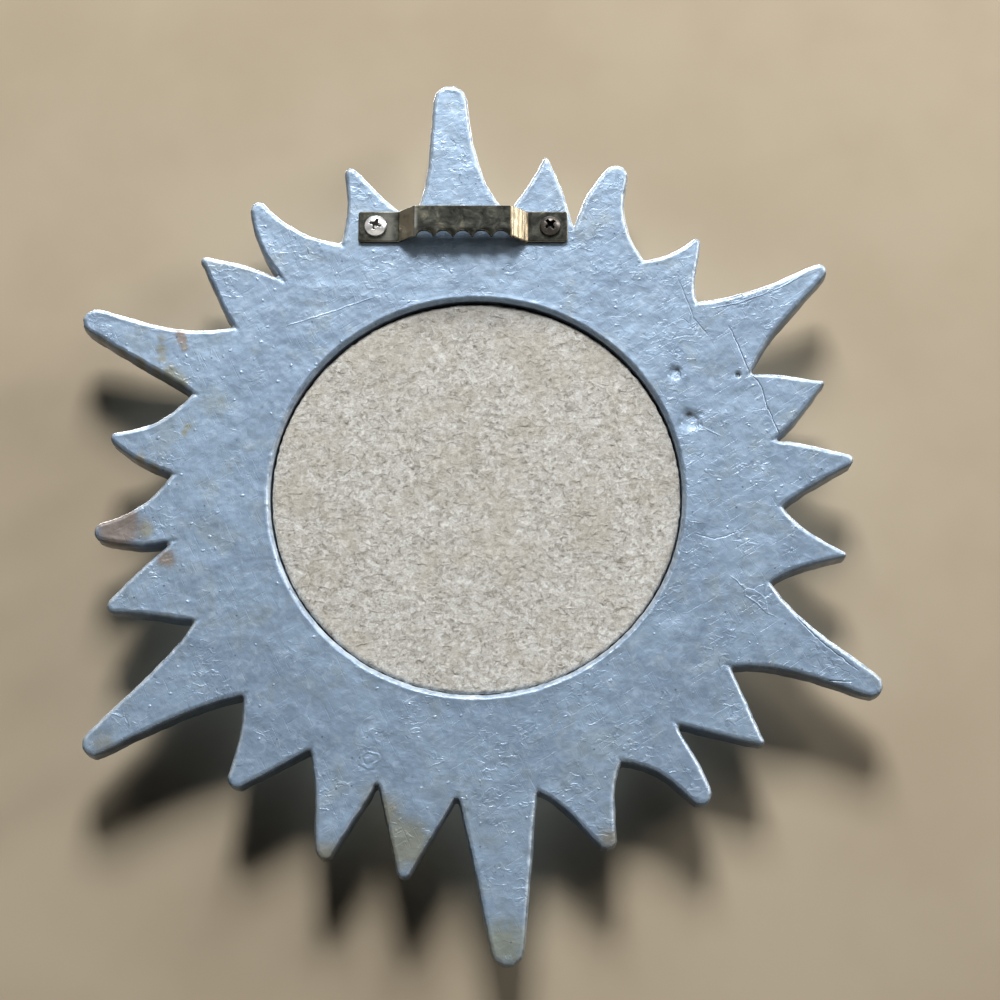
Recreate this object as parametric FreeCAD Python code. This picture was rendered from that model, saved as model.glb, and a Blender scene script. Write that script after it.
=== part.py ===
# Sunburst wall mirror, hanging: +Z is up, the mirror faces -Y and the wall is on the +Y side.
# The origin is the apex of the hanger notch that the nail sits in, on the wall plane.
# A bearing is in degrees about the disc's centre, from straight up towards +X.

import FreeCAD, Part
import math
import os

os.makedirs("parts", exist_ok=True)

Vector = FreeCAD.Vector

# Where the mirror's disc lies from the hanging notch: sideways, and how high the notch is above the pocket
disc_offset_x = 1.5
notch_above_pocket = 21.5

# Sun frame, one casting: depths are measured from its back face towards the front
pocket_radius = 62.5
pocket_rim_bevel = 0.5
ring_width = 29.5
valley_cut = 0.4
ring_front_rise = 2.5
lip_overlap = 6.0
lip_thickness = 2.2
back_edge_bevel = 0.6

# Bezel, from the pocket wall outwards: a dished slope, a rounded crest and a steep foot
bezel_dish_width = 5.7
bezel_dish_rise = 5.3
bezel_crest_rise_width = 2.3
bezel_crest_rise = 0.25
bezel_crest_fall_width = 2.3
bezel_crest_fall = 0.6
bezel_foot_width = 4.2

# Rays: where they start outside the bezel's foot, their walls and the ridge in front of the walls
ray_start_set = 2.0
ray_wall_root_depth = 9.0
ray_wall_tip_depth = 6.5
ray_ridge_root_rise = 5.0
ray_ridge_tip_rise = 2.0
ray_tip_wall_drop = 1.2

# Ray kinds: reach beyond the root circle, half widths at root and tip
long_reach = 46.0
long_root_half_width = 10.0
long_tip_half_width = 4.2
short_reach = 22.5
short_root_half_width = 11.0
short_tip_half_width = 2.0
flame_reach = 25.0
flame_root_half_width = 9.5
flame_tip_half_width = 3.2
ray_bow = 1.0

ray_kinds = {
    "long": (long_reach, long_root_half_width, long_tip_half_width),
    "short": (short_reach, short_root_half_width, short_tip_half_width),
    "flame": (flame_reach, flame_root_half_width, flame_tip_half_width),
}

# Rays in order of bearing: kind, bearing of the valley before it, bearing of its tip
ray_bearings = [
    ("long", -5.9, 3.8),
    ("short", 12.8, 20.8),
    ("flame", 27.6, 36.4),
    ("short", 41.2, 48.3),
    ("long", 54.6, 64.8),
    ("short", 70.1, 81.0),
    ("flame", 86.6, 96.3),
    ("short", 99.6, 108.3),
    ("long", 115.7, 124.7),
    ("short", 132.6, 141.6),
    ("flame", 148.6, 158.3),
    ("short", 162.1, 169.9),
    ("long", 176.7, 183.9),
    ("short", 191.3, 200.0),
    ("flame", 207.2, 215.4),
    ("short", 219.6, 227.5),
    ("long", 234.3, 242.9),
    ("short", 252.1, 259.9),
    ("flame", 267.0, 275.2),
    ("short", 280.3, 288.3),
    ("long", 294.3, 304.1),
    ("short", 312.1, 320.1),
    ("flame", 325.6, 337.1),
    ("short", 340.8, 348.9),
]

# The casting is uneven: reach, root width and tip width of each ray, as shares of its kind's sizes
ray_reach_shares = [
    1.00, 1.05, 1.08, 1.05, 0.94, 0.94, 0.94, 1.05, 1.02, 0.98, 1.06, 1.14,
    1.06, 0.99, 0.95, 0.98, 0.92, 0.93, 0.93, 0.93, 0.87, 0.74, 1.04, 0.98,
]
ray_root_width_shares = [
    0.90, 0.87, 1.04, 1.14, 0.90, 0.95, 0.95, 1.20, 1.05, 1.05, 1.08, 1.06,
    1.11, 0.92, 0.80, 1.11, 0.94, 0.81, 1.11, 1.18, 1.04, 0.75, 0.97, 1.01,
]
ray_tip_width_shares = [
    1.30, 1.05, 0.94, 0.90, 1.02, 1.15, 1.00, 1.35, 0.93, 1.60, 0.94, 1.15,
    1.21, 1.60, 1.09, 0.65, 0.93, 0.60, 0.72, 0.50, 0.60, 0.90, 1.25, 0.60,
]

# Sideways bow of each ray towards the next bearing, as a share of the ray bow
ray_bow_shares = [
    0.5, -0.7, 1.1, -0.6, -0.5, 0.7, 0.2, -0.9, -0.7, 0.0, -1.8, -0.4,
    0.3, -0.7, 0.2, -0.5, 0.5, -0.3, -0.6, -0.9, -0.8, -1.2, 0.2, -1.8,
]

# Sections of a ray, as shares of its reach, and of its rounded end
body_station_shares = [0.0, 0.12, 0.26, 0.42, 0.6, 0.8]
end_half_width_shares = [1.0, 0.8, 0.3]

# What lies in the back pocket, from the back
felt_recess = 1.5
felt_thickness = 2.0
felt_fit_clearance = 0.3
board_thickness = 3.0
silvering_thickness = 0.15
glass_thickness = 3.0
glass_fit_clearance = 0.5
bead_thickness = 0.6
bead_setback = 1.0
bead_width = 3.0

# Sawtooth hanger, one bent strip on two screws
hanger_width = 10.5
hanger_strip_thickness = 1.0
tab_length = 12.75
tab_corner_radius = 1.0
ramp_run = 5.0
bend_radius = 0.6
bridge_rise = 4.7
bridge_end_margin = 0.25
notch_count = 5
notch_pitch = 6.0
notch_depth = 2.0
tooth_flat = 0.6
notches_from_centre = 1
hole_from_tab_end = 5.5
hanger_hole_radius = 1.8

# Screws, pan heads with a cross recess
screw_head_radius = 3.5
dark_screw_head_radius = 3.3
screw_head_height = 2.2
screw_shank_radius = 1.4
screw_length = 9.0
screw_point_length = 2.0
recess_length = 4.0
recess_width = 0.9
recess_depth = 1.3
pilot_clearance = 0.05
pilot_spare_depth = 0.5
zinc_screw_turn = 20.0
dark_screw_turn = 50.0

# Dome of a screw head: distance from its axis and height, as shares of the head's radius and height
head_dome_shares = [(0.0, 1.0), (0.6, 0.88), (1.0, 0.32), (1.0, 0.0)]

# Overrun of every cutting solid
cut_overrun = 1.0

# Places worked out from the sizes above
frame_back_y = -bridge_rise - hanger_strip_thickness
disc_centre = Vector(disc_offset_x, frame_back_y, -pocket_radius - notch_above_pocket)
hanger_centre_x = notches_from_centre * notch_pitch
bridge_length = notch_count * notch_pitch + bridge_end_margin * 2
hanger_length = bridge_length + (ramp_run + tab_length) * 2
screw_spacing = hanger_length - hole_from_tab_end * 2
notch_half_width = (notch_pitch - tooth_flat) / 2
notch_radius = (notch_half_width ** 2 + notch_depth ** 2) / (notch_depth * 2)
felt_back_depth = felt_recess
board_back_depth = felt_back_depth + felt_thickness
silvering_back_depth = board_back_depth + board_thickness
glass_back_depth = silvering_back_depth + silvering_thickness
glass_front_depth = glass_back_depth + glass_thickness
lip_back_depth = glass_front_depth + bead_thickness
lip_front_depth = lip_back_depth + lip_thickness
glass_radius = pocket_radius - glass_fit_clearance
felt_radius = pocket_radius - felt_fit_clearance
lip_radius = pocket_radius - lip_overlap
bead_inner_radius = lip_radius + bead_setback
bezel_inner_radius = pocket_radius + bezel_dish_width
bezel_inner_depth = lip_front_depth + bezel_dish_rise
bezel_crest_radius = bezel_inner_radius + bezel_crest_rise_width
bezel_crest_depth = bezel_inner_depth + bezel_crest_rise
bezel_outer_radius = bezel_crest_radius + bezel_crest_fall_width
bezel_outer_depth = bezel_crest_depth - bezel_crest_fall
bezel_foot_radius = bezel_outer_radius + bezel_foot_width
bezel_foot_depth = ray_wall_root_depth + ring_front_rise
root_circle_radius = pocket_radius + ring_width
ring_edge_radius = root_circle_radius - valley_cut
ray_start_radius = bezel_foot_radius + ray_start_set
hanger_bottom_z = -notch_depth
hanger_middle_z = hanger_bottom_z + hanger_width / 2
axis_to_front = Vector(0, -1, 0)


def disc(radius, back_depth, thickness):
    """Round plate on the disc's axis."""
    base = disc_centre + axis_to_front * back_depth
    return Part.makeCylinder(radius, thickness, base, axis_to_front)


def ring_point(radius, depth):
    """Point of the ring's profile, straight above the disc's centre."""
    return disc_centre + Vector(0, -depth, radius)


def frame_ring():
    """Ring with back pocket, front lip and raised round bezel, turned about the disc's axis."""
    outer_back = ring_point(ring_edge_radius, back_edge_bevel)
    outer_front = ring_point(ring_edge_radius, ray_wall_root_depth)
    foot = ring_point(bezel_foot_radius, bezel_foot_depth)
    outer = ring_point(bezel_outer_radius, bezel_outer_depth)
    crest = ring_point(bezel_crest_radius, bezel_crest_depth)
    inner = ring_point(bezel_inner_radius, bezel_inner_depth)
    edges = [
        Part.LineSegment(outer_back, outer_front).toShape(),
        Part.LineSegment(outer_front, foot).toShape(),
        Part.LineSegment(foot, outer).toShape(),
        Part.Arc(outer, crest, inner).toShape(),
    ]
    corners = [
        inner,
        ring_point(lip_radius, lip_front_depth),
        ring_point(lip_radius, lip_back_depth),
        ring_point(pocket_radius, lip_back_depth),
        ring_point(pocket_radius, pocket_rim_bevel),
        ring_point(pocket_radius + pocket_rim_bevel, 0),
        ring_point(ring_edge_radius - back_edge_bevel, 0),
        outer_back,
    ]
    for start, end in zip(corners, corners[1:]):
        edges.append(Part.LineSegment(start, end).toShape())
    face = Part.Face(Part.Wire(edges))
    return face.revolve(disc_centre, Vector(0, 1, 0), 360)


def ray_section(bearing, radius, offset, half_width, wall, crest):
    """Corners across a ray: flat back, bevelled back edges, two walls and a ridge in front."""
    angle = math.radians(bearing)
    along = Vector(math.sin(angle), 0, math.cos(angle))
    across = Vector(math.cos(angle), 0, -math.sin(angle))
    bevel = min(back_edge_bevel, half_width / 2)
    outline = [
        (-half_width + bevel, 0),
        (half_width - bevel, 0),
        (half_width, bevel),
        (half_width, wall),
        (0, crest),
        (-half_width, wall),
        (-half_width, bevel),
    ]
    points = []
    for side, depth in outline:
        place = disc_centre + along * radius + across * (offset + side) + axis_to_front * depth
        points.append(place)
    return points


def flat_face(corners):
    """Flat face through corners that lie in one plane."""
    return Part.Face(Part.makePolygon(corners + [corners[0]]))


def skinned_solid(sections):
    """Solid through sections of like corners, its skin in flat triangles that join up where they can."""
    faces = [flat_face(sections[0][::-1]), flat_face(sections[-1])]
    for near, far in zip(sections, sections[1:]):
        for index in range(len(near)):
            following = (index + 1) % len(near)
            faces.append(flat_face([near[index], near[following], far[following]]))
            faces.append(flat_face([near[index], far[following], far[index]]))
    return Part.Solid(Part.Shell(faces)).removeSplitter()


def ray(kind, valley, next_valley, tip_bearing, shares):
    """One ray, from under the bezel to its rounded tip, leaning from its root to its tip bearing."""
    kind_reach, kind_body_half, kind_tip_half = ray_kinds[kind]
    reach_share, root_share, tip_share, bow_share = shares
    reach = kind_reach * reach_share
    body_half = kind_body_half * root_share
    tip_half = kind_tip_half * tip_share
    bow = ray_bow * bow_share
    bearing = (valley + next_valley) / 2
    root_half = root_circle_radius * math.sin(math.radians((next_valley - valley) / 2))
    flare = root_half - body_half
    tip_offset = (root_circle_radius + reach) * math.tan(math.radians(tip_bearing - bearing))
    body_reach = reach - tip_half

    def section(distance, half_width, wall_drop):
        share = max(distance, 0) / reach
        offset = tip_offset * (1 - (1 - share) ** 3) + bow * math.sin(math.pi * share)
        wall = ray_wall_root_depth + (ray_wall_tip_depth - ray_wall_root_depth) * share - wall_drop
        ridge = ray_ridge_root_rise + (ray_ridge_tip_rise - ray_ridge_root_rise) * share
        return ray_section(bearing, root_circle_radius + distance, offset, half_width, wall, wall + ridge)

    sections = [section(ray_start_radius - root_circle_radius, root_half, 0)]
    for share in body_station_shares:
        half = body_half + (tip_half - body_half) * share + flare * (1 - share) ** 4
        sections.append(section(body_reach * share, half, 0))
    for share in end_half_width_shares:
        rounding = tip_half * math.sqrt(1 - share ** 2)
        drop = ray_tip_wall_drop * (1 - share)
        sections.append(section(body_reach + rounding, tip_half * share, drop))
    return skinned_solid(sections)


def screw_places():
    """Axis of each hanger screw: the zinc one on the +X tab, the dark one on the -X tab."""
    seat_y = -bridge_rise
    return {
        "hanger_screw_zinc": Vector(hanger_centre_x + screw_spacing / 2, seat_y, hanger_middle_z),
        "hanger_screw_dark": Vector(hanger_centre_x - screw_spacing / 2, seat_y, hanger_middle_z),
    }


def sun_frame():
    """The whole casting: ring and rays in one, with pilot holes for the hanger's screws."""
    solids = []
    count = len(ray_bearings)
    ray_shares = zip(ray_reach_shares, ray_root_width_shares, ray_tip_width_shares, ray_bow_shares)
    for index, shares in enumerate(ray_shares):
        kind, valley, tip_bearing = ray_bearings[index]
        following = ray_bearings[(index + 1) % count][1]
        if following < valley:
            following = following + 360
        solids.append(ray(kind, valley, following, tip_bearing, shares))
    casting = frame_ring().multiFuse(solids)
    opening_depth = bezel_crest_depth + cut_overrun
    casting = casting.cut(disc(pocket_radius, -cut_overrun, lip_back_depth + cut_overrun))
    casting = casting.cut(disc(lip_radius, 0, opening_depth))
    pilot_radius = screw_shank_radius + pilot_clearance
    pilot_depth = screw_length - hanger_strip_thickness + pilot_spare_depth
    for place in screw_places().values():
        start = Vector(place.x, frame_back_y + cut_overrun, place.z)
        hole = Part.makeCylinder(pilot_radius, pilot_depth + cut_overrun, start, axis_to_front)
        casting = casting.cut(hole)
    return casting.removeSplitter()


def mirror_adhesive():
    """Flat bead of glue between the lip and the glass."""
    outer = disc(bead_inner_radius + bead_width, glass_front_depth, bead_thickness)
    return outer.cut(disc(bead_inner_radius, glass_front_depth, bead_thickness))


def bent_strip():
    """Hanger strip before its teeth: tabs on the frame, a raised bridge between two ramps."""
    half = hanger_length / 2
    half_bridge = bridge_length / 2
    ramp_foot = half_bridge + ramp_run
    miter = hanger_strip_thickness * math.tan(math.atan(bridge_rise / ramp_run) / 2)
    inner_y = -hanger_strip_thickness
    outer_side = [
        (-half, -bridge_rise),
        (-ramp_foot, -bridge_rise),
        (-half_bridge, 0),
        (half_bridge, 0),
        (ramp_foot, -bridge_rise),
        (half, -bridge_rise),
    ]
    inner_side = [
        (half, frame_back_y),
        (ramp_foot - miter, frame_back_y),
        (half_bridge - miter, inner_y),
        (-half_bridge + miter, inner_y),
        (-ramp_foot + miter, frame_back_y),
        (-half, frame_back_y),
    ]
    points = []
    for x, y in outer_side + inner_side:
        points.append(Vector(hanger_centre_x + x, y, hanger_bottom_z))
    points.append(points[0])
    strip = Part.Face(Part.makePolygon(points)).extrude(Vector(0, 0, hanger_width))
    bends = []
    for edge in strip.Edges:
        direction = edge.Vertexes[1].Point - edge.Vertexes[0].Point
        from_centre = abs(edge.CenterOfMass.x - hanger_centre_x)
        if abs(direction.z) > hanger_width / 2 and from_centre < ramp_foot + miter:
            bends.append(edge)
    return strip.makeFillet(bend_radius, bends)


def sawtooth_hanger():
    """Sawtooth hanger with its notches, screw holes and rounded tab corners."""
    strip = bent_strip()
    corners = []
    for edge in strip.Edges:
        direction = edge.Vertexes[-1].Point - edge.Vertexes[0].Point
        from_centre = abs(edge.CenterOfMass.x - hanger_centre_x)
        across_strip = abs(direction.y) > hanger_strip_thickness / 2
        if across_strip and from_centre > hanger_length / 2 - bend_radius:
            corners.append(edge)
    strip = strip.makeFillet(tab_corner_radius, corners)
    for index in range(notch_count):
        x = hanger_centre_x + (index - (notch_count - 1) / 2) * notch_pitch
        start = Vector(x, cut_overrun, -notch_radius)
        depth = hanger_strip_thickness + cut_overrun + cut_overrun
        strip = strip.cut(Part.makeCylinder(notch_radius, depth, start, axis_to_front))
    for place in screw_places().values():
        start = Vector(place.x, place.y + cut_overrun, place.z)
        depth = hanger_strip_thickness + cut_overrun + cut_overrun
        strip = strip.cut(Part.makeCylinder(hanger_hole_radius, depth, start, axis_to_front))
    return strip


def hanger_screw(place, head_radius, turn):
    """Pan-head wood screw with a cross recess, its point towards the front."""
    corners = []
    for radius_share, height_share in head_dome_shares:
        corners.append(place + Vector(head_radius * radius_share, screw_head_height * height_share, 0))
    corners.append(place + Vector(screw_shank_radius, 0, 0))
    corners.append(place + Vector(screw_shank_radius, screw_point_length - screw_length, 0))
    corners.append(place + Vector(0, -screw_length, 0))
    screw = flat_face(corners).revolve(place, Vector(0, 1, 0), 360)
    for quarter in (0, 90):
        low = Vector(-recess_length / 2, screw_head_height - recess_depth, -recess_width / 2)
        slot = Part.makeBox(recess_length, recess_depth + cut_overrun, recess_width, low)
        slot.rotate(Vector(0, 0, 0), Vector(0, 1, 0), turn + quarter)
        slot.translate(place)
        screw = screw.cut(slot)
    return screw


def build_pieces():
    """Every piece by its name."""
    places = screw_places()
    pieces = {
        "sun_frame": sun_frame(),
        "mirror_glass": disc(glass_radius, glass_back_depth, glass_thickness),
        "mirror_silvering": disc(glass_radius, silvering_back_depth, silvering_thickness),
        "mirror_adhesive": mirror_adhesive(),
        "backing_board": disc(glass_radius, board_back_depth, board_thickness),
        "felt_disc": disc(felt_radius, felt_back_depth, felt_thickness),
        "sawtooth_hanger": sawtooth_hanger(),
        "hanger_screw_zinc": hanger_screw(places["hanger_screw_zinc"], screw_head_radius, zinc_screw_turn),
        "hanger_screw_dark": hanger_screw(places["hanger_screw_dark"], dark_screw_head_radius,
                                          dark_screw_turn),
    }
    return pieces


for name, shape in build_pieces().items():
    shape.exportStep("parts/" + name + ".step")
    print(name, "solids", len(shape.Solids), "valid", shape.isValid(), "volume", round(shape.Volume))
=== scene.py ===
import math
from itertools import product

import bmesh
import bpy
import numpy as np
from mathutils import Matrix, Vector
from mathutils.kdtree import KDTree


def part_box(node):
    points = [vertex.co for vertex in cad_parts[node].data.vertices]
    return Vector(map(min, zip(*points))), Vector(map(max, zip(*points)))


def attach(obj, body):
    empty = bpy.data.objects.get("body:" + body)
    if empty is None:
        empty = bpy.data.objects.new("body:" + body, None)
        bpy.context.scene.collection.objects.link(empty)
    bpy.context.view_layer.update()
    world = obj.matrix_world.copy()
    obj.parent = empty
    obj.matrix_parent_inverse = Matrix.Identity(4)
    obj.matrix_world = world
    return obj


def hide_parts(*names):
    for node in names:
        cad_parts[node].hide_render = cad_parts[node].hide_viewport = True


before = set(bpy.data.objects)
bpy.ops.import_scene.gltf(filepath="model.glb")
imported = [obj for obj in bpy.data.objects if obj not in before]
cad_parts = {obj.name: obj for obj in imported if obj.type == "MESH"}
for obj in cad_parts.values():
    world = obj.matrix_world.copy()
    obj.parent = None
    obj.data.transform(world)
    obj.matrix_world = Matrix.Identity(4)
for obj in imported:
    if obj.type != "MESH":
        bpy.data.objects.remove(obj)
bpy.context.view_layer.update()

mm = 0.001

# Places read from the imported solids, in metres: the disc's axis, the frame's two faces and the hanger
felt_low, felt_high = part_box("felt_disc")
frame_low, frame_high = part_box("sun_frame")
glass_low, glass_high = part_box("mirror_glass")
hanger_low, hanger_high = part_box("sawtooth_hanger")
disc_x = (felt_low.x + felt_high.x) / 2
disc_z = (felt_low.z + felt_high.z) / 2
felt_radius = (felt_high.x - felt_low.x) / 2
back_y = frame_high.y
front_y = frame_low.y

# In millimetres: the disc's centre, the felt's pocket, and the hanger's middle and reach
disc_centre = np.array([disc_x, 0, disc_z]) / mm
felt_clearance = 0.3
pocket_radius = felt_radius / mm + felt_clearance
rim_bevel = 0.5
hanger_x = (hanger_low.x + hanger_high.x) / 2 / mm
hanger_z = (hanger_low.z + hanger_high.z) / 2 / mm
hanger_half_length = 33
hanger_half_width = 5.3

# Camera: it looks at the back of the hanging mirror, from behind and a little below
camera_distance = 600 * mm
camera_below = math.radians(17.16)
camera_lens = 71.43
camera_aim = Vector((-5.7 * mm, -5.7 * mm, -86.7 * mm))


def rgb(red, green, blue):
    """Linear colour of a display colour given from 0 to 255."""
    channels = []
    for value in (red, green, blue):
        share = value / 255
        channels.append(share / 12.92 if share <= 0.04045 else ((share + 0.055) / 1.055) ** 2.4)
    return (*channels, 1.0)


def noise(points, size, seed):
    """Smooth noise from about -1 to 1 at each point, its features about size across."""
    draw = np.random.default_rng(seed)
    order = draw.permutation(256)
    slopes = draw.normal(size=(256, 3))
    slopes /= np.linalg.norm(slopes, axis=1)[:, None]
    cell = np.floor(points / size).astype(int)
    local = points / size - cell
    fade = local ** 3 * (local * (local * 6 - 15) + 10)
    total = np.zeros(len(points))
    for corner in product((0, 1), repeat=3):
        key = (cell + corner) & 255
        index = order[(key[:, 0] + order[(key[:, 1] + order[key[:, 2]]) & 255]) & 255]
        weight = np.prod(np.where(corner, fade, 1 - fade), axis=1)
        total += weight * np.sum(slopes[index] * (local - corner), axis=1)
    return total * 1.6


def smoothstep(low, high, value):
    """0 below low, 1 above high, and smooth in between."""
    share = np.clip((value - low) / (high - low), 0, 1)
    return share * share * (3 - 2 * share)


# Mesh helpers

def vertex_vectors(vectors, key):
    """One vector for each vertex, as an array."""
    values = np.zeros(len(vectors) * 3)
    vectors.foreach_get(key, values)
    return values.reshape(-1, 3)


def points_and_normals(mesh):
    """Vertex places of a mesh, in millimetres, and its vertex normals."""
    return vertex_vectors(mesh.vertices, "co") / mm, vertex_vectors(mesh.vertex_normals, "vector")


def flat_places(points):
    """Points seen flat, across and up from the disc's centre, and their distance from it."""
    flat = (points - disc_centre)[:, [0, 2]]
    return flat, np.linalg.norm(flat, axis=1)


def set_points(mesh, points):
    """Puts a mesh's vertices at new places, given in millimetres."""
    mesh.vertices.foreach_set("co", (points * mm).astype(np.float32).ravel())
    mesh.update()


def set_attributes(mesh, **attributes):
    """Keeps numbers for each vertex, which a material can read by their names."""
    for name, values in attributes.items():
        layer = mesh.attributes.new(name, "FLOAT", "POINT")
        layer.data.foreach_set("value", values.astype(np.float32))


def mesh_of(name, places, faces):
    """A new mesh from places in metres and faces."""
    mesh = bpy.data.meshes.new(name)
    mesh.from_pydata(places, [], faces)
    mesh.update()
    return mesh


def object_of(name, data):
    """A new object in the scene that holds this mesh, lamp or camera."""
    thing = bpy.data.objects.new(name, data)
    bpy.context.scene.collection.objects.link(thing)
    return thing


def applied(piece):
    """Mesh of a working piece with its modifiers applied. The piece itself goes."""
    depsgraph = bpy.context.evaluated_depsgraph_get()
    mesh = bpy.data.meshes.new_from_object(piece.evaluated_get(depsgraph))
    bpy.data.objects.remove(piece)
    return mesh


def new_piece(name, mesh, material, slot, *replaced):
    """A smooth-shaded piece on the root body, in place of the solids named last."""
    piece = object_of(name, mesh)
    mesh.materials.clear()
    mesh.materials.append(material)
    mesh.shade_smooth()
    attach(piece, "root")
    if replaced:
        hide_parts(*replaced)
    return piece


def softened_mesh(node, voxel, rounds):
    """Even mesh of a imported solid, its edges rounded off by a few rounds of smoothing."""
    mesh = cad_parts[node].data.copy()
    shape = bmesh.new()
    shape.from_mesh(mesh)
    bmesh.ops.remove_doubles(shape, verts=shape.verts, dist=0.001 * mm)
    shape.to_mesh(mesh)
    shape.free()
    piece = object_of(node + "_work", mesh)
    remesh = piece.modifiers.new("even", "REMESH")
    remesh.mode = "VOXEL"
    remesh.voxel_size = voxel * mm
    smooth = piece.modifiers.new("soften", "SMOOTH")
    smooth.factor = 0.5
    smooth.iterations = rounds
    return applied(piece)


def thinned_mesh(mesh, most_triangles):
    """The mesh with at most about that many triangles, small detail kept."""
    mesh.calc_loop_triangles()
    piece = object_of("thin_work", mesh)
    piece.modifiers.new("thin", "DECIMATE").ratio = min(1.0, most_triangles / len(mesh.loop_triangles))
    mesh.shade_smooth()
    piece.modifiers.new("crisp", "WEIGHTED_NORMAL")
    return applied(piece)


# Material helpers, which work in metres

def new_material(name):
    """A material and the object's own coordinates in it."""
    material = bpy.data.materials.new(name)
    material.use_nodes = True
    return material, material.node_tree.nodes.new("ShaderNodeTexCoord").outputs["Object"]


def set_inputs(node, inputs):
    """Links each named input to a socket, or sets it to a plain value."""
    for name, value in inputs.items():
        if isinstance(value, bpy.types.NodeSocket):
            node.id_data.links.new(value, node.inputs[name])
        else:
            node.inputs[name].default_value = value


def finished(material, inputs):
    """The material, with these inputs set on its surface shader."""
    set_inputs(material.node_tree.nodes["Principled BSDF"], inputs)
    return material


def new_node(kind, inputs, **settings):
    """A node with settings and inputs, those by name or number, in the inputs' own tree."""
    tree = next(value.id_data for value in inputs.values() if isinstance(value, bpy.types.NodeSocket))
    node = tree.nodes.new("ShaderNode" + kind)
    for name, value in settings.items():
        setattr(node, name, value)
    set_inputs(node, inputs)
    return node


def maths(kind, *values):
    """One step of arithmetic on numbers."""
    return new_node("Math", dict(enumerate(values)), operation=kind).outputs["Value"]


def vector_maths(kind, *values):
    """A node that does one step of arithmetic on vectors."""
    return new_node("VectorMath", dict(enumerate(values)), operation=kind)


def times(first, second):
    """Product of two numbers."""
    return maths("MULTIPLY", first, second)


def total_of(*weighted):
    """Sum of (weight, pattern) pairs."""
    total = 0.0
    for weight, pattern in weighted:
        total = maths("MULTIPLY_ADD", pattern, weight, total)
    return total


def levels(factor, low, high, start=0.0, end=1.0):
    """Maps low..high to start..end, clamped and smooth."""
    inputs = {"Value": factor, "From Min": low, "From Max": high, "To Min": start, "To Max": end}
    return new_node("MapRange", inputs, interpolation_type="SMOOTHSTEP").outputs["Result"]


def mixed(factor, first, second):
    """Mix of two colours."""
    inputs = {"Factor": factor, "A": first, "B": second}
    return new_node("Mix", inputs, data_type="RGBA").outputs["Result"]


def tinted(colour, *tints):
    """A colour with (share, tint) pairs laid over it in turn."""
    for share, tint in tints:
        colour = mixed(share, colour, tint)
    return colour


def ramped(factor, stops):
    """Colour ramp through stops: a place, and a display colour from 0 to 255."""
    node = new_node("ValToRGB", {"Fac": factor})
    elements = node.color_ramp.elements
    for index, (position, *colour) in enumerate(stops):
        element = elements[index] if index < len(elements) else elements.new(position)
        element.position = position
        element.color = rgb(*colour)
    return node.outputs["Color"]


def vertex_value(material, name):
    """Number kept at each vertex under a name."""
    node = material.node_tree.nodes.new("ShaderNodeAttribute")
    node.attribute_name = name
    return node.outputs["Fac"]


def axis_of(place, axis):
    """One coordinate of places: X, Y or Z."""
    return new_node("SeparateXYZ", {"Vector": place}).outputs[axis]


def stretched(place, scale):
    """Coordinates scaled by a different amount along each axis."""
    return new_node("Mapping", {"Vector": place, "Scale": scale}).outputs["Vector"]


def turned(place, turn):
    """Coordinates turned about Z by that many degrees."""
    rotation = (0, 0, math.radians(turn))
    return new_node("Mapping", {"Vector": place, "Rotation": rotation}).outputs["Vector"]


def wavered(place, size, amount):
    """Coordinates shifted about by noise, so that straight patterns bend."""
    drift = new_node("TexNoise", {"Vector": place, "Scale": 1 / size, "Detail": 1.0})
    centred = vector_maths("SUBTRACT", drift.outputs["Color"], (0.5, 0.5, 0.5)).outputs["Vector"]
    return vector_maths("MULTIPLY_ADD", centred, (amount, amount, amount), place).outputs["Vector"]


def distance_from(place, spot):
    """Distance of each place from one spot."""
    return vector_maths("DISTANCE", place, spot).outputs["Value"]


def noise_pattern(place, size, detail=4.0, roughness=0.55, distortion=0.0):
    """Noise whose features are about size across."""
    inputs = {"Vector": place, "Scale": 1 / size, "Detail": detail, "Roughness": roughness,
              "Distortion": distortion}
    return new_node("TexNoise", inputs).outputs["Fac"]


def scattered_spots(place, size, fade, chance):
    """Spots on scattered points, faded by distance and kept by chance, both as (start, full)."""
    cell = new_node("TexVoronoi", {"Vector": place, "Scale": 1 / size})
    number = new_node("SeparateColor", {"Color": cell.outputs["Color"]}).outputs["Red"]
    return times(levels(cell.outputs["Distance"], *fade), levels(number, *chance))


def wrinkle_pattern(place, size, width):
    """Thin curved ridges, where a noise crosses its middle value, broken into short stretches."""
    level = noise_pattern(place, size, 1.5, 0.5, 0.6)
    off_middle = maths("ABSOLUTE", maths("SUBTRACT", level, 0.5))
    broken = levels(noise_pattern(place, size * 0.7, 1.0), 0.52, 0.60)
    return times(levels(off_middle, width, 0.0), broken)


def scratch_pattern(flat, turn, long, wide):
    """Fine straight scratches, long by wide, laid at a turn."""
    along = stretched(turned(flat, turn), (wide / long, 1, 1))
    return levels(noise_pattern(along, wide, 1.0), 0.64, 0.74)


def bumped(height, depth, normal=None):
    """Surface normal tilted by a height pattern of the given depth."""
    inputs = {"Height": height, "Distance": depth}
    if normal is not None:
        inputs["Normal"] = normal
    return new_node("Bump", inputs).outputs["Normal"]


# Marks in the paint, in millimetres from the disc's centre: across towards +X, and up

# Dents: place, reach and depth
dents = [
    (-61.1, 37.9, 2.2, 0.45),
    (-65.4, 22.6, 2.9, 0.6),
    (-80.6, 37.7, 0.8, 0.6),
    (-46.9, 96.9, 0.6, 0.25),
]

# Painted shadow: dark spots in the dents, on their upper sides where shade falls: place and reach
bare_spots = [
    (-80.6, 37.7, 0.7),
    (-46.9, 96.9, 0.45),
    (-65.2, 25.0, 0.95),
    (-61.9, 39.6, 0.75),
]

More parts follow.
